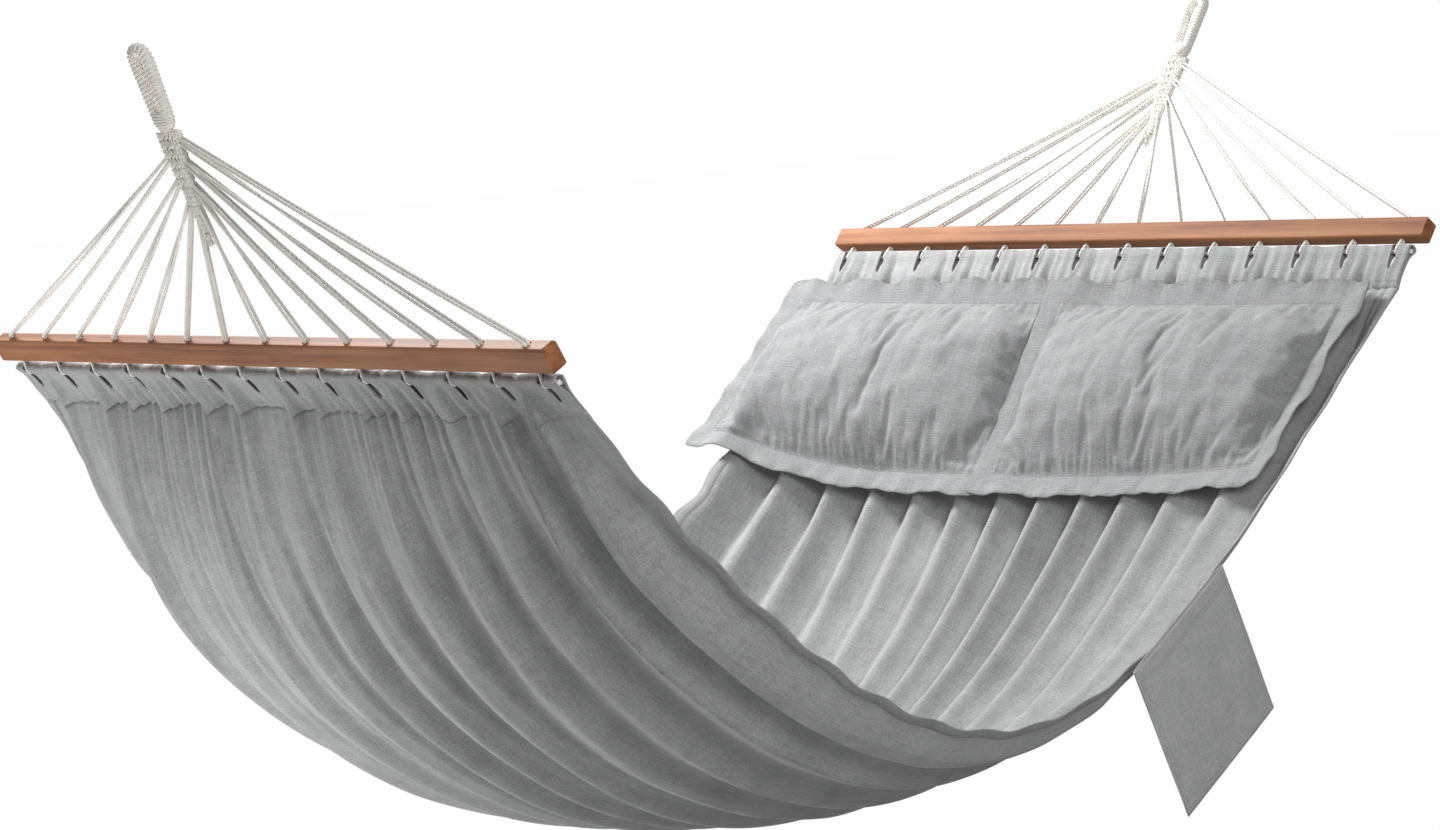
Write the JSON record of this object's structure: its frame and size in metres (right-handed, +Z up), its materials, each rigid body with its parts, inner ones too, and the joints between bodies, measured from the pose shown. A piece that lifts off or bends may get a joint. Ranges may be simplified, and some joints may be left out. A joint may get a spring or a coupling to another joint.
{
  "type": "spreader bar hammock",
  "caption": "Two-person cloth hammock hung from woven cord necks and wooden spreader bars, with flanged pillows and a side pocket.",
  "frame": {"origin": "the bearing point of the foot eye on its hook, at the inner top of the eye", "axes": "+Y from the foot hook to the head hook, +Z up, +X along the spreader bars to the side of the pocket"},
  "size_m": [1.2872, 2.0444, 1.214],
  "materials": {
    "cotton_cord": "off-white twisted cotton cord",
    "oiled_wood": "oiled reddish hardwood",
    "bed_linen": "mid-grey washed linen and cotton cloth",
    "pillow_linen": "mid-grey washed linen and cotton cloth",
    "pillow_fill": "white fibre filling"
  },
  "bodies": {
    "eyes": {"foot_eye": "cotton_cord", "head_eye": "cotton_cord"},
    "hammock": {"foot_neck": "cotton_cord", "foot_tail_knot": "cotton_cord", "foot_header_rope": "cotton_cord", "foot_spreader_bar": "oiled_wood", "foot_slit_tunnel": "bed_linen", "head_neck": "cotton_cord", "head_tail_knot": "cotton_cord", "head_header_rope": "cotton_cord", "head_spreader_bar": "oiled_wood", "head_slit_tunnel": "bed_linen", "bed_cloth": "bed_linen", "foot_cord_01": "cotton_cord", "foot_cord_02": "cotton_cord", "foot_cord_03": "cotton_cord", "foot_cord_04": "cotton_cord", "foot_cord_05": "cotton_cord", "foot_cord_06": "cotton_cord", "foot_cord_07": "cotton_cord", "foot_cord_08": "cotton_cord", "foot_cord_09": "cotton_cord", "foot_cord_10": "cotton_cord", "foot_cord_11": "cotton_cord", "foot_cord_12": "cotton_cord", "foot_cord_13": "cotton_cord", "foot_cord_14": "cotton_cord", "head_cord_01": "cotton_cord", "head_cord_02": "cotton_cord", "head_cord_03": "cotton_cord", "head_cord_04": "cotton_cord", "head_cord_05": "cotton_cord", "head_cord_06": "cotton_cord", "head_cord_07": "cotton_cord", "head_cord_08": "cotton_cord", "head_cord_09": "cotton_cord", "head_cord_10": "cotton_cord", "head_cord_11": "cotton_cord", "head_cord_12": "cotton_cord", "head_cord_13": "cotton_cord", "head_cord_14": "cotton_cord"},
    "left_pillow": {"left_pillow_cover": "pillow_linen", "left_pillow_filling": "pillow_fill"},
    "right_pillow": {"right_pillow_cover": "pillow_linen", "right_pillow_filling": "pillow_fill"},
    "pocket": {"side_pocket": "bed_linen"}
  },
  "joints": [
    {"name": "sideways_swing", "type": "hinge", "parent": "eyes", "child": "hammock", "pos_m": [0, 0.02896, -0.08732], "axis": [0, 0.9999, -0.0129], "range_deg": [-30, 30]},
    {"name": "left_pillow_lift", "type": "hinge", "parent": "hammock", "child": "left_pillow", "pos_m": [0, 1.69882, -0.45376], "axis": [-1, 0, 0], "range_deg": [0, 60]},
    {"name": "right_pillow_lift", "type": "hinge", "parent": "left_pillow", "child": "right_pillow", "pos_m": [0, 1.69882, -0.45376], "axis": [-1, 0, 0], "range_deg": [0, 60]},
    {"name": "pocket_lift", "type": "hinge", "parent": "hammock", "child": "pocket", "pos_m": [0.57421, 1.23204, -0.88255], "axis": [0, -0.8503, -0.5263], "range_deg": [0, 90]}
  ]
}
